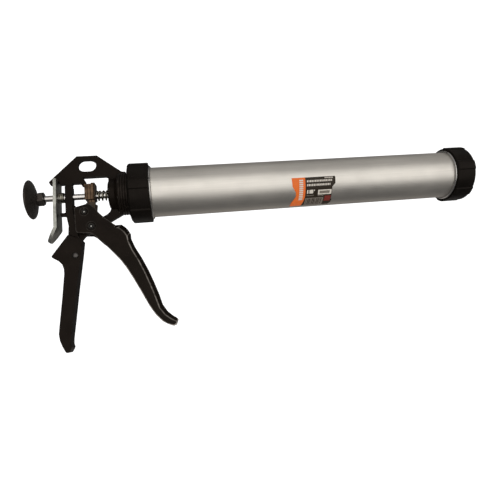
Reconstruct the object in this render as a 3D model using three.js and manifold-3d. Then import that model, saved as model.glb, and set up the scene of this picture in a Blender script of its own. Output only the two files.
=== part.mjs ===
// Sausage caulking gun with a ratchet-free plate drive and an aluminium barrel.
// Millimetres, +Z up. Every sub-part is drawn about the rod's axis, with x = 0 at the front face of
// the rear cap and +X towards the nozzle end. The whole assembly is then moved, so that the origin
// is the centre of the hanging slot.
import * as THREE from 'three';
import { mergeVertices } from 'three/addons/utils/BufferGeometryUtils.js';
import Module from 'manifold-3d';

const wasm = await Module();
wasm.setup();

// ---------------------------------------------------------------- driving dimensions
const GAP = 0.3;                       // clearance between neighbouring pieces
const ROUND = 48;                      // facets round a large turned piece
const ROUND_SMALL = 24;                // facets round a rod, pin or bore

const ROD_R = 3.15;
const ROD_BORE_R = ROD_R + 0.35;
const ROD_REAR = -114;
const ROD_FRONT = 339;

const TUBE_R = 26;
const TUBE_WALL = 1.5;
const TUBE_REAR = -14.4;
const TUBE_FRONT = 356.2;
const TUBE_BORE_R = TUBE_R - TUBE_WALL;

const CAP_R = 31.25;                   // over the grip lobes
const CAP_GROOVE_R = 30.3;             // between them
const CAP_LOBES = 6;
const CAP_LOBE_ANGLE = 17.5;           // degrees of arc
const CAP_BORE_R = TUBE_R + 0.35;
const CAP_ROUNDING = 1.6;
const REAR_CAP = { back: -20.3, wall: -16, front: 0.8 };
const FRONT_CAP = { back: 338.7, wall: 358.2, front: 361, mouthR: 15 };
const COLLAR = { width: 1.8, innerR: TUBE_R + GAP, outerR: 28, chamferR: 26.9 };
const GASKET = { back: -15.7, front: -14.7, outerR: 26, innerR: 17.6 };
const LOCK_RING = { front: -10.8, outerR: 17.2, slotHalf: 1.5 };
const NOZZLE_RING = { back: 356.5, front: 357.9, outerR: 25.9, innerR: FRONT_CAP.mouthR + 0.4 };
const LABEL = { xLow: 147.8, xHigh: 196, top: -5, bottom: -84, innerR: TUBE_R + 0.1, thickness: 0.25 };

const PLATE_HALF = 3;                  // the frame's web
const POST_HALF = 5;
const HUB_HALF = 6.3;
const CHEEK_IN = 6.6;                  // inner and outer faces of the trigger's cheeks
const CHEEK_OUT = 9;
const HANDLE_HALF = 7;
const THROUGH = 20;                    // half-length of a cut that passes right across

const SLOT = { x: -61.8, z: 32.8, length: 18.2, height: 12.9 };
const TRIGGER_PIVOT = { x: -59.3, z: -33.9, r: 2.5, hubR: 5.8 };
const PUSHER_PIN = { x: -65.5, z: -18.5, r: 2 };
const RIVET = { x: -75.8, z: -62, r: 1.6, headR: 2.9 };

const NECK = { back: -30.5, front: REAR_CAP.back - GAP, r: 21.7, rootR: 20.7, turns: 4 };
const SPIGOT = { r: 12, front: -9.5 };
const BOSS_BACK = -41;
const SPRING_WIRE_R = 0.85;
const SPRING_MEAN_R = 4.6;
const SPRING_POCKET = { r: 5.8, front: -34 };
const MAIN_SPRING = { back: -54.2, front: SPRING_POCKET.front - GAP, turns: 5.7 };
const RELEASE_SPRING = { back: -90.9, front: -84.5, turns: 2.8 };

const PLATE_STACK = { back: -64.6, thickness: 2.7, count: 3, halfWidth: 7, tailHalf: 3.4,
  top: 11.4, shoulder: -5, bottom: -13.5 };
const RETAINER = { thickness: 1, lip: 1.2, reach: 3 };
const LEVER = { halfWidth: 10, forkHalf: PLATE_HALF + 0.35, forkBottom: 16, holeR: 3.8 };
const PIN_SEAT = { margin: 1.9, depth: 0.7 };
const PUSHER = { pocketFloor: -15.3, pocketFront: -54, webTop: -21 };

const KNOB_NUT = { back: -111, front: -105.2, acrossCorners: 14.4 };
const PISTON_REAR_PLATE = { back: 316.2, front: 317.8, r: 20 };
const PISTON_FRONT_PLATE = { back: 331.3, front: 332.9, r: 19 };
const PISTON_NUT = { back: 333.2, front: 337.4, acrossCorners: 12.7 };

// ---------------------------------------------------------------- shape helpers
const MERGE_TOLERANCE = 1e-4;

function signedVolume(position, triangles) {
  const a = new THREE.Vector3();
  const b = new THREE.Vector3();
  const c = new THREE.Vector3();
  let volume = 0;
  for (let i = 0; i < triangles.length; i += 3) {
    a.fromBufferAttribute(position, triangles[i]);
    b.fromBufferAttribute(position, triangles[i + 1]);
    c.fromBufferAttribute(position, triangles[i + 2]);
    volume += a.dot(b.cross(c)) / 6;
  }
  return volume;
}

// A closed three.js geometry as a solid whose faces point out.
function solid(geometry) {
  const bare = geometry.clone();
  bare.deleteAttribute('normal');
  bare.deleteAttribute('uv');
  const merged = mergeVertices(bare, MERGE_TOLERANCE);
  const index = merged.index.array;
  const triangles = [];
  for (let i = 0; i < index.length; i += 3) {
    const [a, b, c] = [index[i], index[i + 1], index[i + 2]];
    if (a !== b && b !== c && c !== a) triangles.push(a, b, c);
  }
  const position = merged.attributes.position;
  if (signedVolume(position, triangles) < 0) triangles.reverse();
  return new wasm.Manifold(new wasm.Mesh({
    numProp: 3,
    vertProperties: new Float32Array(position.array),
    triVerts: new Uint32Array(triangles),
  }));
}

function geometryOf(manifold) {
  const mesh = manifold.getMesh();
  const geometry = new THREE.BufferGeometry();
  geometry.setAttribute('position', new THREE.BufferAttribute(new Float32Array(mesh.vertProperties), 3));
  geometry.setIndex(new THREE.BufferAttribute(new Uint32Array(mesh.triVerts), 1));
  geometry.computeVertexNormals();
  return geometry;
}

function shapeOf(points) {
  return new THREE.Shape(points.map(([x, y]) => new THREE.Vector2(x, y)));
}

// A side profile, drawn as x and z, between two values of y.
function sidePlate(shape, yLow, yHigh) {
  const geometry = new THREE.ExtrudeGeometry(shape, {
    depth: yHigh - yLow, bevelEnabled: false, curveSegments: 10,
  });
  geometry.rotateX(Math.PI / 2);
  geometry.translate(0, yHigh, 0);
  return solid(geometry);
}

// A cross-section, drawn as [-z, y], between two values of x.
function alongX(shape, xLow, xHigh, bevel = 0) {
  const geometry = new THREE.ExtrudeGeometry(shape, {
    depth: xHigh - xLow - 2 * bevel, bevelEnabled: bevel > 0, bevelThickness: bevel,
    bevelSize: bevel, bevelOffset: -bevel, bevelSegments: 2, curveSegments: 10,
  });
  geometry.rotateY(Math.PI / 2);
  geometry.translate(xLow + bevel, 0, 0);
  return solid(geometry);
}

// A piece turned about the rod's axis, from [x, radius] pairs.
function turned(profile, segments = ROUND) {
  const points = profile.map(([x, r]) => new THREE.Vector2(r, x));
  const geometry = new THREE.LatheGeometry(points, segments);
  geometry.rotateZ(-Math.PI / 2);
  return solid(geometry);
}

// A ring or a disc with a bore: its section is closed on itself.
function turnedRing(profile) {
  return turned([...profile, profile[0]]);
}

function rodAlongX(xLow, xHigh, r, segments = ROUND_SMALL) {
  return turned([[xLow, 0], [xLow, r], [xHigh, r], [xHigh, 0]], segments);
}

// A cylinder across the gun, centred on y = 0.
function pinAcross(x, z, r, halfLength) {
  const geometry = new THREE.CylinderGeometry(r, r, 2 * halfLength, ROUND_SMALL);
  geometry.translate(x, 0, z);
  return solid(geometry);
}

function block(xLow, xHigh, yHalf, zLow, zHigh) {
  const geometry = new THREE.BoxGeometry(xHigh - xLow, 2 * yHalf, zHigh - zLow);
  geometry.translate((xLow + xHigh) / 2, 0, (zLow + zHigh) / 2);
  return solid(geometry);
}

function union(...solids) {
  return solids.reduce((whole, next) => whole.add(next));
}

// Rings of equal length joined into one closed body, with flat ends.
function loft(rings) {
  const count = rings[0].length;
  const positions = rings.flat(2);
  const index = [];
  for (let ring = 0; ring < rings.length - 1; ring += 1) {
    for (let k = 0; k < count; k += 1) {
      const a = ring * count + k;
      const b = ring * count + ((k + 1) % count);
      index.push(a, b, b + count, a, b + count, a + count);
    }
  }
  const last = (rings.length - 1) * count;
  for (let k = 1; k < count - 1; k += 1) {
    index.push(0, k + 1, k);
    index.push(last, last + k, last + k + 1);
  }
  const geometry = new THREE.BufferGeometry();
  geometry.setAttribute('position', new THREE.Float32BufferAttribute(positions, 3));
  geometry.setIndex(index);
  return solid(geometry);
}

// ---------------------------------------------------------------- frame casting
const FRAME_OUTLINE = [
  [-99.8, 16.9], [-98.8, 14.2], [-97, 14.2], [-96.4, 16.6], [-90, 16.6], [-89.6, 13.6],
  [-84.2, 13.6], [-84.2, -16.6], [-89.8, -16.7], [-89.8, -19.6], [-83.6, -19.8], [-81.8, -31],
  [-80.1, -40], [-79.5, -74], [-74.9, -74], [-72.9, -62], [-72.2, -56], [-71.6, -48.8], [-69.5, -45.5],
  [-67, -42.5], [-63.5, -40.4], [-59.9, -40.2], [-56, -39.6], [-50, -36], [-40.8, -28.5],
  [-23.6, -19.2], [-23.3, 23.9], [-27.4, 24.3], [-51.4, 43.3], [-71.9, 43.4], [-94.2, 22.4],
];
const FRAME_WINDOW = [
  [-77.2, 14], [-68.4, 14], [-68.1, 11.5], [-67.2, 11], [-65.9, 11], [-65.2, 11.7], [-63.9, 15.5],
  [-66.6, 20.2], [-43.6, 20.2], [-41.4, 18.8], [BOSS_BACK, -6], [-39.8, -11.5], [-39.6, -14.5],
  [-41.3, -18.6], [-44, -20.9], [-48.5, -23.3], [-70, -23.3], [-72.6, -20.3], [-72.6, -12.5], [-77.2, -8],
];

function hangingSlot() {
  const r = SLOT.height / 2;
  const reach = SLOT.length / 2 - r;
  const slot = new THREE.Path();
  slot.absarc(SLOT.x + reach, SLOT.z, r, -Math.PI / 2, Math.PI / 2, false);
  slot.absarc(SLOT.x - reach, SLOT.z, r, Math.PI / 2, -Math.PI / 2, false);
  return slot;
}

function neckProfile() {
  const profile = [[BOSS_BACK, 0], [BOSS_BACK, 14], [-39, 16.5], [-34, 16.5], [NECK.back, NECK.r]];
  const pitch = (NECK.front - NECK.back) / NECK.turns;
  for (let turn = 1; turn <= NECK.turns; turn += 1) {
    const crest = NECK.back + turn * pitch;
    profile.push([crest - 0.75 * pitch, NECK.r], [crest - 0.6 * pitch, NECK.rootR]);
    profile.push([crest - 0.35 * pitch, NECK.rootR], [crest - 0.2 * pitch, NECK.r]);
  }
  profile.push([NECK.front, NECK.r], [NECK.front, SPIGOT.r], [SPIGOT.front - 0.8, SPIGOT.r]);
  profile.push([SPIGOT.front, SPIGOT.r - 0.8], [SPIGOT.front, 0]);
  return profile;
}

function frameCasting() {
  const outline = shapeOf(FRAME_OUTLINE);
  outline.holes.push(hangingSlot(), shapeOf(FRAME_WINDOW));
  const post = [[-84.2, 10.6], [-84.2, -17], [-81.8, -31], [-82.4, -39.9], [-72.3, -44.3], [-74.6, -27],
    [-77.2, -13], [-77.2, 10.6]];
  return union(
    sidePlate(outline, -PLATE_HALF, PLATE_HALF),
    sidePlate(shapeOf(post), -POST_HALF, POST_HALF),
    turned(neckProfile()),
    pinAcross(TRIGGER_PIVOT.x, TRIGGER_PIVOT.z, TRIGGER_PIVOT.hubR, HUB_HALF),
  ).subtract(rodAlongX(-90, 0, ROD_BORE_R))
    .subtract(rodAlongX(BOSS_BACK - 1, SPRING_POCKET.front, SPRING_POCKET.r))
    .subtract(pinAcross(TRIGGER_PIVOT.x, TRIGGER_PIVOT.z, TRIGGER_PIVOT.r + GAP, THROUGH))
    .subtract(pinAcross(RIVET.x, RIVET.z, RIVET.r + GAP, THROUGH));
}

// ---------------------------------------------------------------- fixed handle
const HANDLE_OUTLINE = [
  [-82.2, -40.4], [-98.2, -60.8], [-98.1, -61.9], [-97, -63], [-92, -66.2], [-88.6, -70], [-87.2, -74.4],
  [-87, -79], [-89.5, -102.1], [-92.9, -129.1], [-93.8, -137], [-92.9, -143.4], [-90.8, -149],
  [-88.3, -154.1], [-87.3, -155.2], [-85, -155.2], [-83.3, -152.6], [-82.2, -150.2], [-83.1, -147],
  [-82.8, -141.9], [-79.8, -121.5], [-76.2, -96], [-73.3, -77.5], [-70.8, -61.5], [-69.2, -49.4],
  [-68.9, -47.2], [-70.2, -45.6],
];
const TONGUE_POCKET = [
  [-80.5, -38], [-79.85, -74.4], [-74.6, -74.4], [-72.6, -62], [-71.9, -56], [-71.3, -48.8],
  [-68, -43.6], [-66, -38],
];

function handleShell() {
  return sidePlate(shapeOf(HANDLE_OUTLINE), -HANDLE_HALF, HANDLE_HALF)
    .subtract(sidePlate(shapeOf(TONGUE_POCKET), -PLATE_HALF - GAP, PLATE_HALF + GAP))
    .subtract(pinAcross(RIVET.x, RIVET.z, RIVET.r + GAP, THROUGH));
}

// A shaft across the gun with a low domed head at each end.
function handleRivet() {
  const face = HANDLE_HALF + GAP;
  const half = [[face, RIVET.r], [face, RIVET.headR], [face + 0.6, RIVET.headR - 0.3], [face + 1, 1.6]];
  const mirrored = half.map(([y, r]) => [-y, r]).reverse();
  const profile = [[-face - 1.1, 0], ...mirrored, ...half, [face + 1.1, 0]];
  const rivet = turned(profile, ROUND_SMALL);
  return rivet.rotate([0, 0, 90]).translate([RIVET.x, 0, RIVET.z]);
}

// ---------------------------------------------------------------- trigger
const CHEEK_OUTLINE = [
  [-74.9, -14.6], [-74, -13.2], [-62.5, -10.3], [-60.4, -10.4], [-58.9, -11.4], [-53.9, -16.5],
  [-51.2, -20.7], [-46.2, -25.9], [-40.8, -30.4], [-36, -34.4], [-40, -57], [-51.6, -49],
  [-57, -43.1], [-60.5, -40.9], [-66, -40.5], [-72.5, -39.8], [-74.2, -37.8],
];
// Front and rear edges of the grip, from its root to its curled tip.
const TRIGGER_STATIONS = [
  [[-40.5, -32.4], [-52.1, -48.5]], [[-37.3, -33.4], [-50.1, -50.4]], [[-34.1, -33.3], [-47.7, -52.6]],
  [[-30.6, -33.1], [-44.9, -55.8]], [[-27.6, -35.6], [-42.2, -59.1]], [[-24.6, -38.8], [-39.5, -62.4]],
  [[-22.6, -42.6], [-36.2, -66.4]], [[-22.4, -47.7], [-32.5, -71.2]], [[-19.1, -56.7], [-28.1, -78.1]],
  [[-13.1, -68.2], [-22.7, -88]], [[-7.2, -81.6], [-17.4, -98.6]], [[-2.9, -93.3], [-12.9, -108.3]],
  [[1.7, -107.2], [-7.3, -119.9]], [[4.5, -118], [-2, -128.6]], [[8.7, -125.2], [3.7, -135.2]],
  [[13.9, -130.3], [9.2, -138.7]], [[17.9, -133.2], [13.8, -140.7]], [[19, -134.8], [16.7, -139.7]],
];
// Half of the grip's section in front of its flat side, as [inset from the front edge, y].
const GRIP_FACET = [[5.4, 9], [4.6, 8.7], [1, 5.2], [0.3, 4.3], [0, 3.2]];
const FACET_SHARE = 0.42;              // the facet's largest share of a section's depth
const HOLLOW_STATIONS = 14;            // stations from the root that the hollow passes through
const NARROW_STATION = 10;             // from this station on the hollow is narrower

// One section of the grip: square at the rear edge, with a slanted facet on each side of the front.
function gripSection([front, rear]) {
  const depth = Math.hypot(front[0] - rear[0], front[1] - rear[1]);
  const scale = Math.min(1, FACET_SHARE * depth / GRIP_FACET[0][0]);
  const at = (inset, y) => [
    front[0] + (rear[0] - front[0]) * inset / depth,
    y,
    front[1] + (rear[1] - front[1]) * inset / depth,
  ];
  const facet = GRIP_FACET.map(([inset, y]) => [inset * scale, CHEEK_OUT - (CHEEK_OUT - y) * scale]);
  return [
    at(depth, -CHEEK_OUT),
    ...facet.map(([inset, y]) => at(inset, -y)),
    ...facet.reverse().map(([inset, y]) => at(inset, y)),
    at(depth, CHEEK_OUT),
  ];
}

// The hollow of the channel, open along the rear edge.
function gripHollow() {
  const wall = 3;
  const corner = 1.5;
  const rings = TRIGGER_STATIONS.slice(0, HOLLOW_STATIONS).map(([front, rear], place) => {
    const depth = Math.hypot(front[0] - rear[0], front[1] - rear[1]);
    const toward = [(rear[0] - front[0]) / depth, (rear[1] - front[1]) / depth];
    const lead = place === 0 ? -wall : wall;
    const [backX, upZ] = place === 0 ? [-1.5, 1] : [0, 0];   // the hollow starts outside the root
    const inner = [front[0] + toward[0] * lead + backX, front[1] + toward[1] * lead + upZ];
    const outer = [rear[0] + toward[0] * 2 + backX, rear[1] + toward[1] * 2 + upZ];
    const half = place < NARROW_STATION ? CHEEK_IN : CHEEK_IN - 0.6;
    return [[outer[0], -half, outer[1]], [inner[0], -half + corner, inner[1]],
      [inner[0], half - corner, inner[1]], [outer[0], half, outer[1]]];
  });
  return loft(rings);
}

// The hole for a pin, with a shallow round seat in the outer face of each cheek.
function pinSeat({ x, z, r }) {
  const floor = CHEEK_OUT - PIN_SEAT.depth;
  const near = sidePlateDisc(x, z, r + PIN_SEAT.margin, -CHEEK_OUT - 1, -floor);
  const far = sidePlateDisc(x, z, r + PIN_SEAT.margin, floor, CHEEK_OUT + 1);
  return union(pinAcross(x, z, r + GAP, THROUGH), near, far);
}

function sidePlateDisc(x, z, r, yLow, yHigh) {
  const geometry = new THREE.CylinderGeometry(r, r, yHigh - yLow, ROUND_SMALL);
  geometry.translate(x, (yLow + yHigh) / 2, z);
  return solid(geometry);
}

function trigger() {
  const cheeks = shapeOf(CHEEK_OUTLINE);
  return union(
    loft(TRIGGER_STATIONS.map(gripSection)).subtract(gripHollow()),
    sidePlate(cheeks, CHEEK_IN, CHEEK_OUT),
    sidePlate(cheeks, -CHEEK_OUT, -CHEEK_IN),
  ).subtract(pinSeat(TRIGGER_PIVOT)).subtract(pinSeat(PUSHER_PIN));
}

// ---------------------------------------------------------------- drive
function pusher() {
  const outline = shapeOf([
    [-62.2, -7.8], [-54.9, -8.1], [-54.6, -9], [-55.6, -17.5], [-60.5, -23.2], [-65, -23.6],
    [-69.4, -21.2], [-70.1, -17.5], [-68, -13.8],
  ]);
  const tailSpace = block(PLATE_STACK.back + PLATE_STACK.thickness, PUSHER.pocketFront,
    PLATE_STACK.tailHalf + GAP, PUSHER.pocketFloor, PLATE_STACK.shoulder);
  const webSpace = block(-80, -50, PLATE_HALF + 0.5, -40, PUSHER.webTop);
  return sidePlate(outline, -HUB_HALF, HUB_HALF)
    .subtract(tailSpace)
    .subtract(webSpace)
    .subtract(pinAcross(PUSHER_PIN.x, PUSHER_PIN.z, PUSHER_PIN.r + GAP, THROUGH));
}

function catchPlate(place) {
  const back = PLATE_STACK.back + place * (PLATE_STACK.thickness + GAP);
  const front = back + PLATE_STACK.thickness;
  const plate = block(back, front, PLATE_STACK.halfWidth, PLATE_STACK.shoulder, PLATE_STACK.top);
  const body = place === 0 ? plate : plate.add(
    block(back, front, PLATE_STACK.tailHalf, PLATE_STACK.bottom, PLATE_STACK.shoulder + 1));
  return body.subtract(rodAlongX(back - 1, front + 1, ROD_BORE_R));
}

function plateRetainer() {
  const depth = PLATE_STACK.count * (PLATE_STACK.thickness + GAP);
  const back = PLATE_STACK.back + depth;
  const top = PLATE_STACK.top + GAP + RETAINER.lip;
  const face = block(back, back + RETAINER.thickness, 5.5, -5, top);
  const lip = block(back - RETAINER.reach, back + RETAINER.thickness, 5.5, top - RETAINER.lip, top);
  return union(face, lip).subtract(rodAlongX(back - 1, back + 3, ROD_BORE_R));
}

class Helix extends THREE.Curve {
  constructor(xLow, xHigh, turns) {
    super();
    Object.assign(this, { xLow, xHigh, turns });
  }

  getPoint(t, target = new THREE.Vector3()) {
    const angle = t * this.turns * 2 * Math.PI;
    const x = this.xLow + t * (this.xHigh - this.xLow);
    return target.set(x, -SPRING_MEAN_R * Math.cos(angle), SPRING_MEAN_R * Math.sin(angle));
  }
}

function coilSpring({ back, front, turns }) {
  const wire = new THREE.Shape();
  wire.absarc(0, 0, SPRING_WIRE_R, 0, 2 * Math.PI);
  const path = new Helix(back + SPRING_WIRE_R, front - SPRING_WIRE_R, turns);
  const geometry = new THREE.ExtrudeGeometry(wire, {
    steps: Math.round(turns * 14), extrudePath: path, curveSegments: 3, bevelEnabled: false,
  });
  return solid(geometry);
}

// ---------------------------------------------------------------- release lever
const LEVER_OUTLINE = [
  [-93.9, 17.9], [-94.6, -16.4], [-94.6, -32.1], [-102.1, -44.9], [-101.7, -46], [-99.7, -46.8],
  [-99, -46.2], [-91.5, -32.8], [-91.5, -16.4], [-90.8, 17.9],
];

// The lever's blank seen along the rod, as [-z, y], with a rounded thumb tip.
const LEVER_FRONT = [
  [-20, -LEVER.halfWidth], [-20, LEVER.halfWidth], [31, LEVER.halfWidth], [35.5, 9.1], [39.5, 7.5],
  [42.8, 5.6], [45.5, 3.4], [47.5, 1.2], [47.5, -1.2], [45.5, -3.4], [42.8, -5.6], [39.5, -7.5], [35.5, -9.1],
  [31, -LEVER.halfWidth],
];

function releaseLever() {
  const blank = alongX(shapeOf(LEVER_FRONT), -105, -85);
  return sidePlate(shapeOf(LEVER_OUTLINE), -LEVER.halfWidth, LEVER.halfWidth)
    .intersect(blank)
    .subtract(block(-102, -80, LEVER.forkHalf, LEVER.forkBottom, 30))
    .subtract(rodAlongX(-102, -80, LEVER.holeR));
}

// ---------------------------------------------------------------- rod and knob
function pullKnob() {
  return turned([
    [-122.1, 0], [-121.8, 6], [-121.1, 11.7], [-120, 16.4], [-118.9, 19.1], [-118, 20],
    [-117, 19.4], [-115.6, 16], [-114, 11.4], [-112.6, 7.6], [-111.3, 5.8], [-111.3, ROD_BORE_R],
    [-114.4, ROD_BORE_R], [-114.4, 0],
  ], 40);
}

function hexNut({ back, front, acrossCorners }) {
  const r = acrossCorners / 2;
  const corners = [];
  for (let k = 0; k < 6; k += 1) {
    const angle = (k * Math.PI) / 3;
    corners.push([r * Math.cos(angle), r * Math.sin(angle)]);
  }
  return alongX(shapeOf(corners), back, front).subtract(rodAlongX(back - 1, front + 1, ROD_BORE_R));
}

function disc(xLow, xHigh, r, bore) {
  return turnedRing([[xLow, bore], [xLow, r], [xHigh, r], [xHigh, bore]]);
}

function flatRing({ back, front, outerR, innerR }) {
  return disc(back, front, outerR, innerR);
}

function pistonPlate({ back, front, r }) {
  return disc(back, front, r, ROD_BORE_R);
}

function pistonCup() {
  return turnedRing([
    [318.1, ROD_BORE_R], [318.1, 22.8], [319.2, 24.1], [322, 24.1], [322.6, 23.2], [327, 23.2],
    [327.8, 24.1], [330.6, 24.1], [331, 23.4], [331, ROD_BORE_R],
  ]);
}

// ---------------------------------------------------------------- barrel and caps
function barrelTube() {
  return disc(TUBE_REAR, TUBE_FRONT, TUBE_R, TUBE_BORE_R);
}

// A cap's outline: grip lobes spaced evenly round a plain circle.
function lobedOutline() {
  const points = [];
  const ramp = 1.6;
  for (let lobe = 0; lobe < CAP_LOBES; lobe += 1) {
    const centre = 0.5 + (lobe * 360) / CAP_LOBES;
    const half = CAP_LOBE_ANGLE / 2;
    const gap = 360 / CAP_LOBES - CAP_LOBE_ANGLE;
    const stops = [[-half, CAP_R], [0, CAP_R], [half, CAP_R], [half + ramp, CAP_GROOVE_R]];
    for (let step = 1; step <= 4; step += 1) {
      stops.push([half + ramp + (step * (gap - 2 * ramp)) / 4, CAP_GROOVE_R]);
    }
    for (const [offset, r] of stops) {
      const angle = THREE.MathUtils.degToRad(centre + offset);
      points.push([-r * Math.sin(angle), -r * Math.cos(angle)]);
    }
  }
  return shapeOf(points);
}

function rearCap() {
  const { back, wall, front } = REAR_CAP;
  return alongX(lobedOutline(), back, front, CAP_ROUNDING)
    .subtract(rodAlongX(wall, front + 1, CAP_BORE_R, ROUND))
    .subtract(rodAlongX(back - 1, wall + 1, SPIGOT.r + GAP));
}

function frontCap() {
  const { back, wall, front, mouthR } = FRONT_CAP;
  return alongX(lobedOutline(), back, front, CAP_ROUNDING)
    .subtract(rodAlongX(back - 1, wall, CAP_BORE_R, ROUND))
    .subtract(rodAlongX(wall - 1, front + 1, mouthR, ROUND));
}

// The bright ring beside a cap, chamfered on the side away from it.
function collar(capFace, away) {
  const near = capFace + away * GAP;
  const far = near + away * COLLAR.width;
  return turnedRing([
    [near, COLLAR.innerR], [near, COLLAR.outerR], [near + away * 0.9, COLLAR.outerR],
    [far, COLLAR.chamferR], [far, COLLAR.innerR],
  ]);
}

function lockRing() {
  const { front, outerR, slotHalf } = LOCK_RING;
  const ring = disc(REAR_CAP.wall + GAP, front, outerR, SPIGOT.r + GAP);
  const slots = [0, 60, 120].map((angle) => (
    block(front - 2.2, front + 0.8, outerR + 0.8, -slotHalf, slotHalf).rotate([angle, 0, 0])));
  return slots.reduce((left, slot) => left.subtract(slot), ring);
}

function barrelLabel() {
  const points = [];
  const steps = 12;
  const arc = (r, from, to) => {
    for (let step = 0; step <= steps; step += 1) {
      const angle = THREE.MathUtils.degToRad(from + ((to - from) * step) / steps);
      points.push([-r * Math.sin(angle), -r * Math.cos(angle)]);
    }
  };
  arc(LABEL.innerR, LABEL.top, LABEL.bottom);
  arc(LABEL.innerR + LABEL.thickness, LABEL.bottom, LABEL.top);
  return alongX(shapeOf(points), LABEL.xLow, LABEL.xHigh);
}

// ---------------------------------------------------------------- assembly
const FINISHES = {
  blackCasting: { color: 0x1b1a19, roughness: 0.42, metalness: 0.1 },
  blackPlastic: { color: 0x161616, roughness: 0.48, metalness: 0 },
  zinc: { color: 0xb9b7a6, roughness: 0.35, metalness: 0.9 },
  blackOxide: { color: 0x2a2826, roughness: 0.4, metalness: 0.7 },
  steel: { color: 0xc8c6c2, roughness: 0.22, metalness: 1 },
  hardened: { color: 0x7a5d43, roughness: 0.45, metalness: 0.8 },
  aluminium: { color: 0xb9b6b0, roughness: 0.35, metalness: 0.9 },
  brightRing: { color: 0xd9d7d2, roughness: 0.25, metalness: 1 },
  rubber: { color: 0x222222, roughness: 0.8, metalness: 0 },
  label: { color: 0xd9702a, roughness: 0.5, metalness: 0 },
};

const gun = new THREE.Group();
gun.name = 'caulking_gun';
gun.position.set(-SLOT.x, 0, -SLOT.z);

function place(name, manifold, finish) {
  const mesh = new THREE.Mesh(geometryOf(manifold), new THREE.MeshStandardMaterial(FINISHES[finish]));
  mesh.name = name;
  gun.add(mesh);
}

place('frame', frameCasting(), 'blackCasting');
place('handle_shell', handleShell(), 'blackCasting');
place('handle_rivet', handleRivet(), 'zinc');
place('trigger', trigger(), 'blackCasting');
place('trigger_pivot_pin', pinAcross(TRIGGER_PIVOT.x, TRIGGER_PIVOT.z, TRIGGER_PIVOT.r, CHEEK_OUT), 'blackOxide');
place('pusher_pin', pinAcross(PUSHER_PIN.x, PUSHER_PIN.z, PUSHER_PIN.r, CHEEK_OUT), 'blackOxide');
place('pusher', pusher(), 'hardened');
for (let number = 0; number < PLATE_STACK.count; number += 1) {
  place(`catch_plate_${number + 1}`, catchPlate(number), 'hardened');
}
place('plate_retainer', plateRetainer(), 'hardened');
place('main_spring', coilSpring(MAIN_SPRING), 'zinc');
place('release_lever', releaseLever(), 'zinc');
place('release_spring', coilSpring(RELEASE_SPRING), 'zinc');
place('drive_rod', rodAlongX(ROD_REAR, ROD_FRONT, ROD_R), 'steel');
place('pull_knob', pullKnob(), 'blackPlastic');
place('knob_nut', hexNut(KNOB_NUT), 'blackPlastic');
place('piston_rear_plate', pistonPlate(PISTON_REAR_PLATE), 'zinc');
place('piston_cup', pistonCup(), 'blackPlastic');
place('piston_front_plate', pistonPlate(PISTON_FRONT_PLATE), 'zinc');
place('piston_nut', hexNut(PISTON_NUT), 'zinc');
place('rear_cap', rearCap(), 'blackPlastic');
place('lock_ring', lockRing(), 'blackPlastic');
place('rear_gasket', flatRing(GASKET), 'rubber');
place('barrel_tube', barrelTube(), 'aluminium');
place('barrel_collar_rear', collar(REAR_CAP.front, 1), 'brightRing');
place('barrel_collar_front', collar(FRONT_CAP.back, -1), 'brightRing');
place('barrel_label', barrelLabel(), 'label');
place('nozzle_ring', flatRing(NOZZLE_RING), 'zinc');
place('front_cap', frontCap(), 'blackPlastic');

export default gun;
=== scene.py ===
"""Caulking gun with an aluminium barrel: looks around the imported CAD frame. Metres, +Z up."""
import math

import bmesh
import bpy
from mathutils import Matrix, Vector


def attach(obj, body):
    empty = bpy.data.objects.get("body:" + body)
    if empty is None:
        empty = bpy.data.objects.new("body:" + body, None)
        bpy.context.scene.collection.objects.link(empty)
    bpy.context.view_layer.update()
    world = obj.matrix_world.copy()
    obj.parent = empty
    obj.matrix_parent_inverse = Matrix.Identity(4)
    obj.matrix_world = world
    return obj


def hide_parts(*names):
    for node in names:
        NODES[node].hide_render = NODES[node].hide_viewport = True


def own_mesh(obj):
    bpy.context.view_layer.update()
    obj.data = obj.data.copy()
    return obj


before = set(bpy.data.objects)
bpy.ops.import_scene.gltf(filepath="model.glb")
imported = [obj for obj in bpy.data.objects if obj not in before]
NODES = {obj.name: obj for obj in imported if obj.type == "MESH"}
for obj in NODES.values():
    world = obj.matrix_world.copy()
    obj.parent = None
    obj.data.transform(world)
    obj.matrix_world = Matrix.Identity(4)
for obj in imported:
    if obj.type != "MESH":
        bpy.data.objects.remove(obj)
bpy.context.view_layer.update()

MM = 0.001
# Where the rod's axis crosses the rear cap's front face, from the centre of the hanging slot.
AXIS_ORIGIN = Vector((0.0618, 0.0, -0.0328))
ROOT = "frame_and_barrel"

# ------------------------------------------------------------------ sizes in millimetres, rod-axis frame
# Ends are (back, front) along the rod's axis. GAP is the clearance between neighbouring pieces.
GAP = 0.3

TUBE_R = 26.0
TUBE_BORE_R = 24.5
TUBE_ENDS = (-14.4, 356.2)

CAP_R = 31.25
CAP_GROOVE_R = 30.25
CAP_LOBES = 6
CAP_LOBE_ANGLE = 17.5                  # degrees of arc, as are the offset and the shoulder
CAP_LOBE_OFFSET = 0.5
CAP_LOBE_SHOULDER = 1.5
CAP_ROUND_BELOW_R = 28.45
CAP_BORE_R = 26.35
CAP_CHAMFER = 1.6
CAP_CORNER = 0.9
REAR_CAP_ENDS = (-20.3, 0.8)
REAR_CAP_WALL = -16.0
REAR_CAP_HOLE_R = 12.3
FRONT_CAP_ENDS = (338.7, 361.0)
FRONT_CAP_WALL = 358.2
MOUTH_R = 15.0

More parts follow.
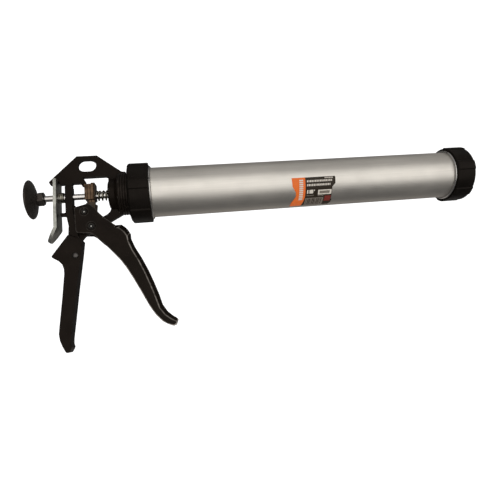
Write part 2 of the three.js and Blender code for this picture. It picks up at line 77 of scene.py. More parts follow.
COLLAR = {"width": 1.8, "inner_r": 26.3, "outer_r": 28.0, "far_r": 26.9, "land": 0.9}
GASKET = {"ends": (-15.7, -14.7), "inner_r": 17.6, "outer_r": 26.0}
NOZZLE_RING = {"ends": (356.5, 357.9), "inner_r": 15.4, "outer_r": 25.9}
THREAD = {"ends": (-30.2, -20.7), "root_r": 20.9, "crest_r": 21.9, "pitch": 2.4}

ROD_R = 3.15
ROD_ENDS = (-114.0, 339.0)
ROD_BORE_R = 3.5
KNOB_NUT = {"ends": (-111.0, -105.2), "across_corners": 14.4}
PISTON_REAR_PLATE = {"ends": (316.2, 317.8), "r": 20.0}
PISTON_FRONT_PLATE = {"ends": (331.3, 332.9), "r": 19.0}
PISTON_NUT = {"ends": (333.2, 337.4), "across_corners": 12.7}

SPRING_WIRE_R = 0.85
SPRING_MEAN_R = 4.6
# keep is the share of a spring's length that is left when it is squeezed as far as it goes.
MAIN_SPRING = {"ends": (-54.2, -34.3), "turns": 4.3, "dead": 0.75, "keep": 0.538}
RELEASE_SPRING = {"ends": (-90.9, -84.5), "turns": 1.5, "dead": 0.7, "keep": 0.895}

TRIGGER_PIVOT = {"x": -59.3, "z": -33.9, "r": 2.5}
PUSHER_PIN = {"x": -65.5, "z": -18.5, "r": 2.0}
PIN_HALF = 8.8
RIVET = {"x": -75.8, "z": -62.0, "r": 1.6, "head_r": 2.9}
RIVET_HALF = 7.3


def at(x, y, z):
    """A point of the rod-axis frame, in millimetres, as a point of the row frame in metres."""
    return AXIS_ORIGIN + Vector((x, y, z)) * MM


# ------------------------------------------------------------------ mesh helpers
def mesh_object(name, verts, faces, material, sharp_deg=35.0):
    """An object from points and faces: doubled points joined, faces turned out, smooth below an angle."""
    mesh = bpy.data.meshes.new(name)
    mesh.from_pydata([tuple(v) for v in verts], [], faces)
    mesh.validate()
    joined = bmesh.new()
    joined.from_mesh(mesh)
    bmesh.ops.remove_doubles(joined, verts=joined.verts, dist=1e-7)
    bmesh.ops.recalc_face_normals(joined, faces=joined.faces)
    joined.to_mesh(mesh)
    joined.free()
    mesh.shade_smooth()
    mesh.set_sharp_from_angle(angle=math.radians(sharp_deg))
    mesh.materials.append(material)
    obj = bpy.data.objects.new(name, mesh)
    bpy.context.scene.collection.objects.link(obj)
    return obj


def fillet(points, radius, closed=False):
    """A section with its corners rounded: each corner becomes a short curve."""
    steps = 4
    out = []
    count = len(points)
    for k, corner in enumerate(points):
        if not closed and k in (0, count - 1):
            out.append(corner)
            continue
        before, after = points[k - 1], points[(k + 1) % count]
        here = Vector(corner)
        to_before, to_after = Vector(before) - here, Vector(after) - here
        reach = min(radius, 0.45 * to_before.length, 0.45 * to_after.length)
        start = here + to_before.normalized() * reach
        end = here + to_after.normalized() * reach
        for step in range(steps + 1):
            t = step / steps
            out.append(tuple(start * (1 - t) ** 2 + here * 2 * t * (1 - t) + end * t * t))
    return out


def turned(name, profile, material, segments=96, closed=False, axis="X", centre=(0, 0, 0), spread=None):
    """A piece turned about an axis, from (position, radius) pairs.
    spread(angle, r, position) may change the radius."""
    verts, faces = [], []
    rows = len(profile)
    for k in range(segments):
        angle = 2 * math.pi * k / segments
        for position, r in profile:
            radius = spread(angle, r, position) if spread else r
            across, up = -radius * math.cos(angle), radius * math.sin(angle)
            local = (position, across, up) if axis == "X" else (across, position, up)
            verts.append(at(*(Vector(centre) + Vector(local))))
    for k in range(segments):
        here, there = k * rows, (k + 1) % segments * rows
        for row in range(rows if closed else rows - 1):
            after = (row + 1) % rows
            faces.append((here + row, here + after, there + after, there + row))
    return mesh_object(name, verts, faces, material)


def ring(name, low, high, inner_r, outer_r, material, segments, corner=0.35):
    """A flat ring or a tube about the rod's axis, with its corners rounded."""
    section = [(low, inner_r), (low, outer_r), (high, outer_r), (high, inner_r)]
    return turned(name, fillet(section, corner, closed=True), material, segments, closed=True)


def helix(name, spring, material):
    """A compression spring along the rod: open coils between dead ones that nearly touch."""
    start, end = spring["ends"]
    turns, dead = spring["turns"], spring["dead"]
    per_turn, sides = 32, 12
    total = turns + 2 * dead
    steps = int(total * per_turn)
    low, high = start + SPRING_WIRE_R, end - SPRING_WIRE_R
    closed_pitch = 2.05 * SPRING_WIRE_R
    verts, faces = [], []

    def place(t):
        turn = t * total
        open_length = (high - low) - 2 * dead * closed_pitch
        if turn < dead:
            x = low + turn * closed_pitch
        elif turn > total - dead:
            x = high - (total - turn) * closed_pitch
        else:
            x = low + dead * closed_pitch + (turn - dead) * open_length / turns
        angle = 2 * math.pi * turn
        return Vector((x, -SPRING_MEAN_R * math.cos(angle), SPRING_MEAN_R * math.sin(angle)))

    for step in range(steps + 1):
        t = step / steps
        here = place(t)
        ahead, behind = place(min(1, t + 1e-3)), place(max(0, t - 1e-3))
        tangent = (ahead - behind).normalized()
        outward = Vector((0, here.y, here.z)).normalized()
        sideways = tangent.cross(outward).normalized()
        for side in range(sides):
            angle = 2 * math.pi * side / sides
            offset = outward * math.cos(angle) + sideways * math.sin(angle)
            verts.append(at(*(here + offset * SPRING_WIRE_R)))
    for step in range(steps):
        for side in range(sides):
            a = step * sides + side
            b = step * sides + (side + 1) % sides
            faces.append((a, b, b + sides, a + sides))
    faces.append(tuple(range(sides)))
    faces.append(tuple(steps * sides + side for side in reversed(range(sides))))
    return mesh_object(name, verts, faces, material)


def hex_nut(name, nut, material):
    """A six-sided nut on the rod, with its corners turned off at both faces."""
    low, high = nut["ends"]
    corner_r = nut["across_corners"] / 2
    flat_r = corner_r * math.cos(math.pi / 6)

    def hexagon(angle, r, _position):
        if r <= ROD_BORE_R + 0.6:
            return r
        inside = (angle + math.pi / 6) % (math.pi / 3) - math.pi / 6
        return min(r, flat_r / math.cos(inside))

    chamfer = 0.5 * (corner_r - flat_r)
    face_r = flat_r - 0.15
    profile = [
        (low, ROD_BORE_R + 0.3), (low, face_r), (low + chamfer, corner_r),
        (high - chamfer, corner_r), (high, face_r), (high, ROD_BORE_R + 0.3),
        (high - 0.4, ROD_BORE_R), (low + 0.4, ROD_BORE_R),
    ]
    return turned(name, profile, material, closed=True, spread=hexagon)


def ride(obj, body, slot, *replaced):
    """A drawn piece rides on a body and may stand in for CAD nodes; slot, the name of its material slot, is
    not used.
    """
    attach(obj, body)
    if replaced:
        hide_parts(*replaced)


# ------------------------------------------------------------------ material helpers
class Nodes:
    """A short way to write one material's nodes."""

    def __init__(self, name, color, roughness, metallic=0.0, specular=0.5, sheen=(1, 1, 1)):
        self.material = bpy.data.materials.new(name)
        self.material.use_nodes = True
        self.tree = self.material.node_tree
        self.shader = self.tree.nodes["Principled BSDF"]
        self.shader.inputs["Base Color"].default_value = (*color, 1)
        self.shader.inputs["Roughness"].default_value = roughness
        self.shader.inputs["Metallic"].default_value = metallic
        self.shader.inputs["Specular IOR Level"].default_value = specular
        self.shader.inputs["Specular Tint"].default_value = (*sheen, 1)
        self.coordinates = self.tree.nodes.new("ShaderNodeTexCoord")
        self.normal = None

    def link(self, source, target):
        self.tree.links.new(source, target)

    def noise(self, scale, stretch=(1, 1, 1), detail=4.0, roughness=0.55):
        """Cloudy noise in the object's own coordinates, drawn out along an axis by a small stretch."""
        mapping = self.tree.nodes.new("ShaderNodeMapping")
        mapping.inputs["Scale"].default_value = stretch
        self.link(self.coordinates.outputs["Object"], mapping.inputs["Vector"])
        texture = self.tree.nodes.new("ShaderNodeTexNoise")
        texture.inputs["Scale"].default_value = scale
        texture.inputs["Detail"].default_value = detail
        texture.inputs["Roughness"].default_value = roughness
        self.link(mapping.outputs["Vector"], texture.inputs["Vector"])
        return texture.outputs["Fac"]

    def remap(self, value, low, high, from_low=0.3, from_high=0.7):
        """A value's range moved to low..high. Most noise lies between 0.3 and 0.7."""
        ranged = self.tree.nodes.new("ShaderNodeMapRange")
        ranged.inputs["From Min"].default_value = from_low
        ranged.inputs["From Max"].default_value = from_high
        ranged.inputs["To Min"].default_value = low
        ranged.inputs["To Max"].default_value = high
        self.link(value, ranged.inputs["Value"])
        return ranged.outputs["Result"]

    def mix(self, factor, first, second):
        """A colour between two: each is a colour or a socket."""
        mixer = self.tree.nodes.new("ShaderNodeMix")
        mixer.data_type = "RGBA"
        self.link(factor, mixer.inputs[0])
        for value, socket in ((first, mixer.inputs[6]), (second, mixer.inputs[7])):
            if isinstance(value, tuple):
                socket.default_value = (*value, 1)
            else:
                self.link(value, socket)
        return mixer.outputs[2]

    def sharp_edge_mask(self, low, high):
        """1 on sharp outer edges and 0 on flat faces: low and high are the pointiness at either end."""
        geometry = self.tree.nodes.new("ShaderNodeNewGeometry")
        return self.remap(geometry.outputs["Pointiness"], 0.0, 1.0, low, high)

    def along_x(self, low, high, least):
        """Rises from least to 1 as the object's own x goes from low to high, in metres."""
        separate = self.tree.nodes.new("ShaderNodeSeparateXYZ")
        self.link(self.coordinates.outputs["Object"], separate.inputs["Vector"])
        return self.remap(separate.outputs["X"], least, 1.0, low, high)

    def product(self, first, second):
        """Two values multiplied."""
        multiply = self.tree.nodes.new("ShaderNodeMath")
        multiply.operation = "MULTIPLY"
        self.link(first, multiply.inputs[0])
        self.link(second, multiply.inputs[1])
        return multiply.outputs["Value"]

    def bump(self, height, strength, distance):
        node = self.tree.nodes.new("ShaderNodeBump")
        node.inputs["Strength"].default_value = strength
        node.inputs["Distance"].default_value = distance
        self.link(height, node.inputs["Height"])
        if self.normal:
            self.link(self.normal, node.inputs["Normal"])
        self.normal = node.outputs["Normal"]
        self.link(self.normal, self.shader.inputs["Normal"])

    def paint(self, color):
        self.link(color, self.shader.inputs["Base Color"])

    def rough(self, value):
        self.link(value, self.shader.inputs["Roughness"])


# The black finishes reflect a little warm.
WARM_SHEEN = (1.0, 0.84, 0.74)


def shade(color, factor):
    return tuple(min(1.0, c * factor) for c in color)


def black_casting(name="black_casting", specular=0.08, edge_pointiness=(0.53, 0.6), bare_and_highlight=(0.05, 0.043, 0.037),
                  grip=None):
    """Satin stove enamel over die-cast aluminium: orange peel, edges worn through the paint.
    Sharp edges take the edge colour given: a dull colour is wear, and a bright one, as on the trigger, is a
    painted highlight along the edges. grip is the stretch of x over which the edge colour grows to its full
    strength, towards a grip."""
    base = (0.0030, 0.0021, 0.0015)
    m = Nodes(name, base, 0.4, specular=specular, sheen=WARM_SHEEN)
    cloud = m.noise(60, detail=5)
    tint = m.mix(m.remap(cloud, 0, 1), shade(base, 0.75), shade(base, 1.5))
    # Sharp edges: worn through the paint on the casting, and a painted highlight on the trigger, whose edge
    # colour is bright.
    rubbed_and_highlit = m.product(m.sharp_edge_mask(*edge_pointiness), m.remap(m.noise(240), 0.25, 0.9, 0.38, 0.6))
    if grip:
        rubbed_and_highlit = m.product(rubbed_and_highlit, m.along_x(*grip, 0.12))
    m.paint(m.mix(rubbed_and_highlit, tint, bare_and_highlight))
    m.rough(m.remap(m.noise(110, detail=3), 0.3, 0.44))
    m.bump(m.noise(900, detail=2), 0.14, 0.00016)
    m.bump(m.noise(160, detail=2), 0.1, 0.0004)
    return m.material


def black_plastic(name="black_plastic", rough=(0.34, 0.48), base=(0.0026, 0.0021, 0.0017), specular=0.09):
    """Moulded nylon: fine spark-eroded grain, faint handling marks."""
    m = Nodes(name, base, 0.43, specular=specular, sheen=WARM_SHEEN)
    cloud = m.noise(45, detail=4)
    m.paint(m.mix(m.remap(cloud, 0, 1), shade(base, 0.8), shade(base, 1.45)))
    m.rough(m.remap(m.noise(130, detail=4), *rough))
    m.bump(m.noise(1800, detail=2), 0.14, 0.00012)
    return m.material


def bare_metal(name, base, rough, grain, drawn=False, tint=None, bump=0.1, blotch=30.0):
    """A metal with a fine grain, which is drawn out into lines along x if asked, and a drifting tone."""
    m = Nodes(name, base, sum(rough) / 2, metallic=1.0)
    streak = m.noise(grain, (0.01, 1, 1) if drawn else (1, 1, 1), detail=3)
    cloud = m.noise(blotch, detail=5)
    tone = m.mix(m.remap(cloud, 0, 1), shade(base, 0.88), tint or shade(base, 1.1))
    fine = m.mix(m.remap(streak, 0, 1), (0.9, 0.9, 0.9), (1.0, 1.0, 1.0))
    blend = m.tree.nodes.new("ShaderNodeMix")
    blend.data_type = "RGBA"
    blend.blend_type = "MULTIPLY"
    blend.inputs[0].default_value = 1.0
    m.link(tone, blend.inputs[6])
    m.link(fine, blend.inputs[7])
    m.paint(blend.outputs[2])
    m.rough(m.remap(m.noise(blotch * 6, detail=4), *rough))
    m.bump(streak, bump, 0.00006)
    return m.material


def zinc_plate():
    """Dulled zinc plating: greenish-grey, with a mottled bloom and rolled-sheet lines."""
    m = Nodes("zinc_plate", (0.13, 0.13, 0.115), 0.4, metallic=1.0)
    bloom = m.noise(90, detail=6, roughness=0.65)
    m.paint(m.mix(m.remap(bloom, 0, 1), (0.21, 0.213, 0.19), (0.62, 0.62, 0.57)))
    m.rough(m.remap(m.noise(220, detail=4), 0.3, 0.5))
    m.bump(m.noise(1500, (1, 1, 0.02), detail=2), 0.1, 0.00008)
    return m.material


def hardened_steel(name, dark, straw_tone):
    """Tempered steel: straw to brown oxide colours, with grinding lines and an oily sheen."""
    m = Nodes(name, dark, 0.36, metallic=0.9)
    temper = m.noise(150, detail=4)
    m.paint(m.mix(m.remap(temper, 0, 1, 0.35, 0.65), dark, straw_tone))
    m.rough(m.remap(m.noise(300), 0.28, 0.5))
    m.bump(m.noise(1400, (1, 0.05, 1), detail=2), 0.12, 0.00008)
    return m.material


def black_oxide():
    """Blackened steel with a thin film of oil."""
    m = Nodes("black_oxide", (0.012, 0.011, 0.01), 0.36, metallic=0.6, specular=0.3)
    m.paint(m.mix(m.remap(m.noise(300), 0, 1), (0.008, 0.0075, 0.007), (0.02, 0.018, 0.016)))
    m.rough(m.remap(m.noise(400, detail=3), 0.28, 0.45))
    m.bump(m.noise(1600, detail=2), 0.1, 0.00006)
    return m.material


def rubber():
    m = Nodes("gasket_rubber", (0.02, 0.02, 0.02), 0.75)
    m.paint(m.mix(m.remap(m.noise(80), 0, 1), (0.014, 0.014, 0.014), (0.03, 0.03, 0.029)))
    m.bump(m.noise(900), 0.2, 0.0002)
    return m.material


def print_ink(name, base):
    """Ink on a laminated film: a hint of dot gain and of tiny scuffs."""
    m = Nodes(name, base, 0.42, specular=0.2)
    m.paint(m.mix(m.remap(m.noise(700, detail=2), 0, 1), shade(base, 0.9), shade(base, 1.08)))
    m.rough(m.remap(m.noise(160, detail=5), 0.38, 0.5))
    m.bump(m.noise(60, detail=2), 0.05, 0.0003)
    return m.material


CASTING = black_casting()
# The trigger's bright edge colour is a painted highlight along its ridge, growing in strength towards the
# grip.
TRIGGER_CASTING = black_casting("trigger_casting", edge_pointiness=(0.505, 0.53), bare_and_highlight=(0.26, 0.235, 0.21),
                                grip=(0.02, 0.032))
THREAD_CASTING = black_casting("thread_casting", specular=0.24)
PLASTIC = black_plastic()
KNOB_PLASTIC = black_plastic("knob_plastic", (0.24, 0.36), (0.0085, 0.0074, 0.0064), 0.36)
BARREL = bare_metal("barrel_anodised", (0.84, 0.805, 0.75), (0.46, 0.54), 1500, drawn=True, bump=0.12,
                    blotch=9)
BRIGHT = bare_metal("bright_aluminium", (0.72, 0.70, 0.67), (0.24, 0.36), 900)
ROD_STEEL = bare_metal("rod_steel", (0.74, 0.71, 0.68), (0.14, 0.26), 1800, drawn=True, bump=0.08)
SPRING_STEEL = bare_metal("spring_wire", (0.30, 0.28, 0.22), (0.2, 0.32), 700, tint=(0.42, 0.40, 0.33))
TURNED_ZINC = bare_metal("turned_zinc", (0.42, 0.41, 0.38), (0.26, 0.4), 800, blotch=120)
RIVET_ZINC = bare_metal("rivet_zinc", (0.11, 0.10, 0.095), (0.34, 0.48), 800, blotch=160)
ZINC = zinc_plate()
HARDENED = hardened_steel("hardened_steel", (0.03, 0.018, 0.01), (0.15, 0.095, 0.058))
PUSHER_STEEL = hardened_steel("pusher_steel", (0.022, 0.016, 0.011), (0.06, 0.045, 0.032))
BLACK_OXIDE = black_oxide()
RUBBER = rubber()


# ------------------------------------------------------------------ castings: the CAD bodies, with cast radii
CAST_VOXEL = 0.42                      # finer than the smallest detail of the castings


def cast_surface(node, material, smoothing):
    """A CAD body with its edges melted into small cast radii."""
    obj = NODES[node]
    obj.data.materials.clear()
    obj.data.materials.append(material)
    remesh = obj.modifiers.new("cast_skin", "REMESH")
    remesh.mode = "VOXEL"
    remesh.voxel_size = CAST_VOXEL * MM
    remesh.use_smooth_shade = True
    smooth = obj.modifiers.new("cast_radii", "SMOOTH")
    smooth.factor = 0.5
    smooth.iterations = smoothing


def pressed_edges(node, material, width_mm):
    """A stamped or machined CAD body with its edges broken."""
    obj = NODES[node]
    obj.data.materials.clear()
    obj.data.materials.append(material)
    weld = obj.modifiers.new("weld", "WELD")
    weld.merge_threshold = 1e-6
    flats = obj.modifiers.new("flats", "DECIMATE")
    flats.decimate_type = "DISSOLVE"
    flats.angle_limit = math.radians(1.0)
    bevel = obj.modifiers.new("edges", "BEVEL")
    bevel.width = width_mm * MM
    bevel.segments = 3
    bevel.limit_method = "ANGLE"
    bevel.angle_limit = math.radians(30)
    bevel.harden_normals = True
    for polygon in obj.data.polygons:
        polygon.use_smooth = True


cast_surface("frame", CASTING, 2)
cast_surface("trigger", TRIGGER_CASTING, 2)
cast_surface("handle_shell", CASTING, 3)
pressed_edges("plate_retainer", PUSHER_STEEL, 0.25)
pressed_edges("release_lever", ZINC, 0.45)
pressed_edges("pusher", PUSHER_STEEL, 0.35)
for number in (1, 2, 3):
    pressed_edges(f"catch_plate_{number}", HARDENED, 0.14)


# ------------------------------------------------------------------ springs
def springs():
    for node, spring, joint in (
        ("main_spring", MAIN_SPRING, "catch_plate_slide"),
        ("release_spring", RELEASE_SPRING, "release_press"),
    ):
        coil = helix(f"{node}_coil", spring, SPRING_STEEL)
        ride(coil, ROOT, "spring_wire", node)
        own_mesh(coil)


# ------------------------------------------------------------------ rod, knob and piston
def rod_and_knob():
    back, front = ROD_ENDS
    rod = fillet([(back, 0), (back, ROD_R), (front, ROD_R), (front, 0)], 0.6)
    ride(turned("drive_rod_fine", rod, ROD_STEEL, 64), "rod", "rod_steel", "drive_rod")
    knob = [
        (-122.1, 0), (-121.9, 5), (-121.2, 11.2), (-120.1, 16.2), (-118.9, 19.1), (-118, 20),
        (-117, 19.4), (-115.6, 16), (-114, 11.4), (-112.6, 7.6), (-111.3, 6.2), (-111.3, ROD_BORE_R),
        (-114.4, ROD_BORE_R), (-114.4, 0),
    ]
    knob_piece = turned("pull_knob_fine", fillet(knob, 1.2), KNOB_PLASTIC, 128)
    ride(knob_piece, "rod", "black_plastic", "pull_knob")
    ride(hex_nut("knob_nut_fine", KNOB_NUT, KNOB_PLASTIC), "rod", "black_plastic", "knob_nut")


def piston():
    cup = [
        (318.1, ROD_BORE_R), (318.1, 22.8), (319.2, 24.1), (322, 24.1), (322.6, 23.2), (327, 23.2),
        (327.8, 24.1), (330.6, 24.1), (331, 23.4), (331, ROD_BORE_R),
    ]
    cup_piece = turned("piston_cup_fine", fillet(cup, 0.4, closed=True), PLASTIC, 128, closed=True)
    ride(cup_piece, "rod", "black_plastic", "piston_cup")
    for node, plate in (
        ("piston_rear_plate", PISTON_REAR_PLATE), ("piston_front_plate", PISTON_FRONT_PLATE),
    ):
        disc = ring(node + "_fine", *plate["ends"], ROD_BORE_R, plate["r"], TURNED_ZINC, 96)
        ride(disc, "rod", "zinc_plate", node)
    ride(hex_nut("piston_nut_fine", PISTON_NUT, TURNED_ZINC), "rod", "zinc_plate", "piston_nut")


# ------------------------------------------------------------------ barrel, collars and caps
def lobed(angle, r, _position):
    """A cap's outside, raised into grip lobes with soft shoulders. Its inside stays round."""
    if r < CAP_ROUND_BELOW_R:
        return r
    pitch = 360 / CAP_LOBES
    degrees = math.degrees(angle) - CAP_LOBE_OFFSET
    away = abs((degrees + pitch / 2) % pitch - pitch / 2)
    ramp = (CAP_LOBE_ANGLE / 2 + CAP_LOBE_SHOULDER - away) / CAP_LOBE_SHOULDER
    ramp = max(0.0, min(1.0, ramp))
    raised = ramp * ramp * (3 - 2 * ramp)
    return r - (CAP_R - CAP_GROOVE_R) * (1 - raised)


def cap(node, profile, body):
    piece = turned(node + "_fine", fillet(profile, CAP_CORNER, closed=True), PLASTIC, 360, closed=True,
                   spread=lobed)
    ride(piece, body, "black_plastic", node)


def caps():
    back, face = REAR_CAP_ENDS
    cap("rear_cap", [
        (back, REAR_CAP_HOLE_R), (back, CAP_R - CAP_CHAMFER), (back + CAP_CHAMFER, CAP_R), (face, CAP_R),
        (face, CAP_BORE_R), (REAR_CAP_WALL, CAP_BORE_R), (REAR_CAP_WALL, REAR_CAP_HOLE_R),
    ], ROOT)
    back, face = FRONT_CAP_ENDS
    cap("front_cap", [
        (back, CAP_BORE_R), (back, CAP_R), (face - CAP_CHAMFER, CAP_R), (face, CAP_R - CAP_CHAMFER),
        (face, MOUTH_R), (FRONT_CAP_WALL, MOUTH_R), (FRONT_CAP_WALL, CAP_BORE_R),
    ], "front_cap")


def neck_thread():
    """The neck's thread, as a helical ridge over the casting."""
    low, high = THREAD["ends"]
    root_r, crest_r, pitch = THREAD["root_r"], THREAD["crest_r"], THREAD["pitch"]
    buried_r = root_r - 1.2
    rows = 72
    profile = [(low + (high - low) * row / rows, crest_r) for row in range(rows + 1)]
    profile += [(high, buried_r), (low, buried_r)]

    def ridge(angle, r, position):
        if r < root_r:
            return r
        phase = ((position - low) / pitch - angle / (2 * math.pi)) % 1.0
        slope = 0.5 - abs(phase - 0.5)
        height = max(0.0, min(1.0, (slope - 0.12) / 0.2))
        fade = min(1.0, (position - low) / 0.8, (high - position) / 0.8)
        return root_r + (crest_r - root_r) * height * max(0.0, fade)

    thread = turned("neck_thread", profile, THREAD_CASTING, 144, closed=True, spread=ridge)
    ride(thread, ROOT, "black_casting")


def collar(node, cap_face, away):
    """The bright ring beside a cap. away is +1 or -1, from the cap."""
    near = cap_face + away * GAP
    far = near + away * COLLAR["width"]
    section = [
        (near, COLLAR["inner_r"]), (near, COLLAR["outer_r"]),
        (near + away * COLLAR["land"], COLLAR["outer_r"]),
        (far, COLLAR["far_r"]), (far, COLLAR["inner_r"]),
    ]
    piece = turned(node + "_fine", fillet(section, 0.35, closed=True), BRIGHT, 192, closed=True)
    ride(piece, ROOT, "bright_aluminium", node)


def barrel():
    tube = ring("barrel_tube_fine", *TUBE_ENDS, TUBE_BORE_R, TUBE_R, BARREL, 256, corner=0.3)
    ride(tube, ROOT, "barrel_aluminium", "barrel_tube")
    collar("barrel_collar_rear", REAR_CAP_ENDS[1], 1)
    collar("barrel_collar_front", FRONT_CAP_ENDS[0], -1)
    seal = ring("rear_gasket_fine", *GASKET["ends"], GASKET["inner_r"], GASKET["outer_r"], RUBBER, 128,
                corner=0.3)
    ride(seal, ROOT, "gasket_rubber", "rear_gasket")
    steel = ring("nozzle_ring_fine", *NOZZLE_RING["ends"], NOZZLE_RING["inner_r"], NOZZLE_RING["outer_r"],
                 TURNED_ZINC, 128)
    ride(steel, "nozzle_ring", "zinc_plate", "nozzle_ring")
    pressed_edges("lock_ring", PLASTIC, 0.4)


# ------------------------------------------------------------------ pins and rivet
def mirrored(half):
    """A section from end to end, from its half in (y, radius) pairs, the outer end first."""
    return [(-y, radius) for y, radius in half] + list(reversed(half))


def pin(node, place, body):
    """A pin across the gun, with a dished end and a small bright centre in each."""
    r, end, centre = place["r"], PIN_HALF, (place["x"], 0, place["z"])
    half = [(end, 0), (end, 0.8), (end - 0.25, 1.0), (end - 0.3, r * 0.62), (end + 0.1, r * 0.75), (end, r),
            (end - 0.6, r)]
    shaft = turned(node + "_fine", mirrored(half), BLACK_OXIDE, 48, axis="Y", centre=centre)
    ride(shaft, body, "black_oxide", node)
    spot = ((end - 0.2, 0), (end - 0.2, 0.85), (end + 0.05, 0.8), (end + 0.15, 0.5), (end + 0.2, 0))
    for side in (-1, 1):
        profile = [(side * y, radius) for y, radius in spot]
        bright = turned(f"{node}_centre_{side + 1}", profile, TURNED_ZINC, 32, axis="Y", centre=centre)
        ride(bright, body, "black_oxide")


def pins():
    pin("trigger_pivot_pin", TRIGGER_PIVOT, ROOT)
    pin("pusher_pin", PUSHER_PIN, "trigger")
    face, head_r = RIVET_HALF, RIVET["head_r"]
    half = [(face + 1.1, 0), (face + 1.0, 1.2), (face + 0.7, head_r - 0.8), (face + 0.3, head_r - 0.2),
            (face, head_r), (face, RIVET["r"])]
    rivet = turned("handle_rivet_fine", mirrored(half), RIVET_ZINC, 48, axis="Y",
                   centre=(RIVET["x"], 0, RIVET["z"]))
    ride(rivet, ROOT, "zinc_plate", "handle_rivet")


# ------------------------------------------------------------------ label: generic printed blocks
LABEL_R = TUBE_R + 0.1
FILM_T = 0.08
FILM_PITCH = 0.1                       # from one layer's inside to the next one's
FILM_TOP, FILM_BOTTOM = -5, -84
# Edges down the label, as (angle, x). The angle is in degrees, from 0 at the near side to -90 underneath.
FILM_LEFT = ((FILM_TOP, 147.8), (-24, 148.3), (-31, 150.0), (-38, 152.0), (-49, 152.4), (-57, 150.8),
             (-68, 148.4), (FILM_BOTTOM, 147.8))
FILM_RIGHT = ((FILM_TOP, 195.4), (-7, 196.0), (-22, 195.8), (-30, 192.4), (-61, 192.4), (-65, 193.6),
              (-76, 193.2), (FILM_BOTTOM, 191.0))
BAND_RIGHT = ((FILM_TOP, 162.4), (-50, 162.6), (-70, 161.4), (FILM_BOTTOM, 160.2))


def edge_at(edge, angle):
    """x on one of the edges above, at an angle."""
    for (high, x_high), (low, x_low) in zip(edge, edge[1:]):
        if angle >= low:
            return x_high + (x_low - x_high) * (high - angle) / (high - low)
    return edge[-1][1]


def film(name, pieces, layer, ink):
    """Pieces of printed film on the barrel, each (left, right, top angle, bottom angle), as one object.
    An edge is an x or one of the edges above. Layers count outwards from the barrel."""
    verts, faces = [], []
    inner = LABEL_R + layer * FILM_PITCH
    for left, right, top, bottom in pieces:
        rows = max(2, math.ceil((top - bottom) / 1.5))
        start = len(verts)
        for k in range(rows + 1):
            angle = top + (bottom - top) * k / rows
            turn = math.radians(angle)
            for edge in (left, right):
                x = edge_at(edge, angle) if isinstance(edge, tuple) else edge
                for r in (inner, inner + FILM_T):
                    verts.append(at(x, -r * math.cos(turn), r * math.sin(turn)))
        for k in range(rows):
            a = start + k * 4
            b = a + 4
            faces += [(a, a + 1, b + 1, b), (a + 2, b + 2, b + 3, a + 3), (a, b, b + 2, a + 2),
                      (a + 1, a + 3, b + 3, b + 1)]
        last = start + rows * 4
        faces += [(start, start + 2, start + 3, start + 1), (last, last + 1, last + 3, last + 2)]
    return mesh_object(name, verts, faces, ink)


def dashes(x_low, x_high, top, bottom, widths, space):
    """A row of short strokes that stands for a line of print."""
    pieces, x, k = [], x_low, 0
    while x + widths[k % len(widths)] <= x_high:
        width = widths[k % len(widths)]
        pieces.append((x, x + width, top, bottom))
        x += width + space
        k += 1
    return pieces


def label():
    orange = print_ink("label_orange", (0.40, 0.078, 0.008))
    charcoal = print_ink("label_charcoal", (0.014, 0.0095, 0.005))
    pale = print_ink("label_pale", (0.34, 0.31, 0.27))
    red = print_ink("label_red", (0.10, 0.012, 0.008))
    grey = print_ink("label_grey", (0.10, 0.085, 0.07))
    base = film("label_film", [(FILM_LEFT, FILM_RIGHT, FILM_TOP, FILM_BOTTOM)], 0, charcoal)
    ride(base, ROOT, "label_print", "barrel_label")
    strokes = [(155.8, 160.0, -10 - 4.7 * k, -13.1 - 4.7 * k) for k in range(11)]
    heading = dashes(164.2, 192.6, -12.0, -16.4, (1.3, 0.9, 1.5, 1.1, 0.8, 1.4), 0.6)
    heading += dashes(164.2, 191.6, -21.0, -25.6, (1.1, 1.5, 0.9, 1.3, 1.4, 0.8), 0.6)
    heading += dashes(184.0, 193.6, -6.8, -9.4, (1.1, 0.8, 1.3), 0.5)
    size_line = [(164.4, 165.8, -34.5, -43.5), (167.0, 171.2, -34.5, -43.5), (172.0, 173.0, -34.5, -37.5)]
    notes = dashes(164.4, 172.2, -47.5, -50.0, (1.2, 0.9, 1.4), 0.5)
    notes += dashes(176.8, 183.4, -49.5, -51.8, (1.2, 0.9, 1.4), 0.5)
    outline = [(176.6, 191.6, -35.5, -38.0), (176.6, 191.6, -44.8, -47.4), (176.6, 178.2, -38.0, -44.8),
               (189.6, 191.6, -38.0, -44.8)]
    bars = []
    for bar in range(11):
        x = 164.6 + bar * 1.62
        bars.append((x, x + (0.85 if bar % 3 else 0.45), -57.5, -79.0))
    for name, pieces, layer, ink in (
        ("label_band", [(FILM_LEFT, BAND_RIGHT, FILM_TOP, FILM_BOTTOM)], 1, orange),
        ("label_band_strokes", strokes, 2, pale),
        ("label_heading", heading, 1, pale),
        ("label_size", size_line, 1, pale),
        ("label_notes", notes, 1, grey),
        ("label_panel", [(176.6, 191.6, -35.5, -47.4)], 1, grey),
        ("label_panel_outline", outline, 2, pale),
        ("label_code_field", [(163.4, 183.6, -55.5, -82.0)], 1, grey),
        ("label_code_bars", bars, 2, charcoal),
        ("label_square", [(184.8, 191.8, -51.5, -68.0)], 1, red),
    ):
        ride(film(name, pieces, layer, ink), ROOT, "label_print")


springs()
rod_and_knob()
piston()
neck_thread()
barrel()
caps()
pins()
label()


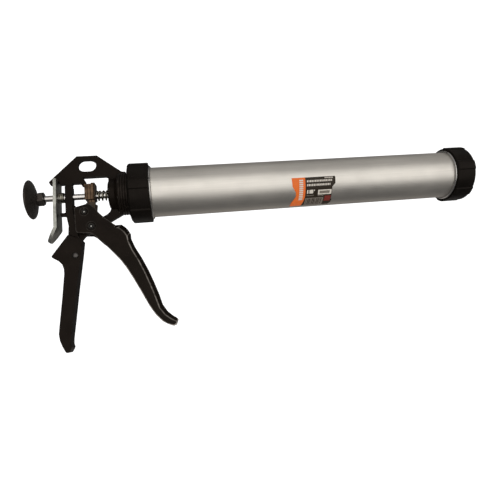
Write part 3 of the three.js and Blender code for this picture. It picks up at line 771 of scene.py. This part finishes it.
# ------------------------------------------------------------------ studio
def dome():
    """A pale floor that turns up into a pale dome, so that every side has the same backdrop."""
    floor_z, radius, corner, top = -1.3, 5.0, 1.6, 5.0
    profile = [(0.0, floor_z), (radius - corner, floor_z)]
    for step in range(1, 13):
        angle = step / 12 * math.pi / 2
        lift = corner * (1 - math.cos(angle))
        profile.append((radius - corner + corner * math.sin(angle), floor_z + lift))
    for step in range(1, 13):
        angle = step / 12 * math.pi / 2
        profile.append((radius * math.cos(angle), floor_z + corner + (top - corner) * math.sin(angle)))
    segments = 96
    verts = [(r * math.cos(2 * math.pi * k / segments), r * math.sin(2 * math.pi * k / segments), z)
             for k in range(segments) for r, z in profile]
    rows = len(profile)
    faces = [(k * rows + row, k * rows + row + 1, (k + 1) % segments * rows + row + 1,
              (k + 1) % segments * rows + row) for k in range(segments) for row in range(rows - 1)]
    m = Nodes("studio_paper", (0.3, 0.3, 0.3), 0.9, specular=0.1)
    m.paint(m.mix(m.remap(m.noise(1.5, detail=2), 0, 1), (0.295, 0.295, 0.295), (0.305, 0.305, 0.305)))
    m.shader.inputs["Emission Color"].default_value = (1, 1, 1, 1)
    m.shader.inputs["Emission Strength"].default_value = 0.85
    obj = mesh_object("studio_floor", verts, faces, m.material, sharp_deg=180)
    obj.visible_glossy = False
    obj.visible_shadow = False


def area_light(name, location, target, size, radiance, color):
    """A soft box, given by the brightness of its face. The camera doesn't see it."""
    data = bpy.data.lights.new(name, "AREA")
    data.shape = "RECTANGLE"
    data.size, data.size_y = size
    data.energy = radiance * math.pi * size[0] * size[1]
    data.color = color
    light = bpy.data.objects.new(name, data)
    light.location = location
    direction = Vector(target) - Vector(location)
    light.rotation_euler = direction.to_track_quat("-Z", "Y").to_euler()
    light.visible_camera = False
    bpy.context.scene.collection.objects.link(light)


def studio():
    dome()
    middle = (0.18, 0, -0.04)
    area_light("front_box", (0.7, -1.5, -0.1), (0.7, 0, -0.1), (3.6, 2.2), 1.13, (1.0, 0.985, 0.955))
    area_light("top_box", (0.3, -0.5, 1.7), middle, (3.0, 1.2), 0.3, (1.0, 0.98, 0.95))
    area_light("low_box", (0.2, 1.5, -0.9), middle, (3.0, 0.9), 0.24, (1.0, 0.94, 0.88))
    world = bpy.data.worlds.new("studio_world")
    world.use_nodes = True
    background = world.node_tree.nodes["Background"]
    background.inputs["Color"].default_value = (1.0, 0.98, 0.96, 1)
    background.inputs["Strength"].default_value = 0.1
    bpy.context.scene.world = world
    bpy.context.scene.view_settings.view_transform = "Standard"


def camera():
    """The viewpoint: close, below the trigger's tip, looking up and a little towards the nozzle end."""
    data = bpy.data.cameras.new("camera")
    data.sensor_width = 36
    data.lens = 30.07
    data.clip_start = 0.01
    obj = bpy.data.objects.new("camera", data)
    yaw, pitch, roll = (math.radians(angle) for angle in (-8.18, 10.56, 4.88))
    turn = Matrix.Rotation(roll, 3, "Y") @ Matrix.Rotation(pitch, 3, "X") @ Matrix.Rotation(yaw, 3, "Z")
    right, forward, up = turn @ Vector((1, 0, 0)), turn @ Vector((0, 1, 0)), turn @ Vector((0, 0, 1))
    matrix = Matrix((right, up, -forward)).transposed().to_4x4()
    matrix.translation = at(29.49, -433.28, -145.35)
    obj.matrix_world = matrix
    bpy.context.scene.collection.objects.link(obj)
    bpy.context.scene.camera = obj


studio()
camera()
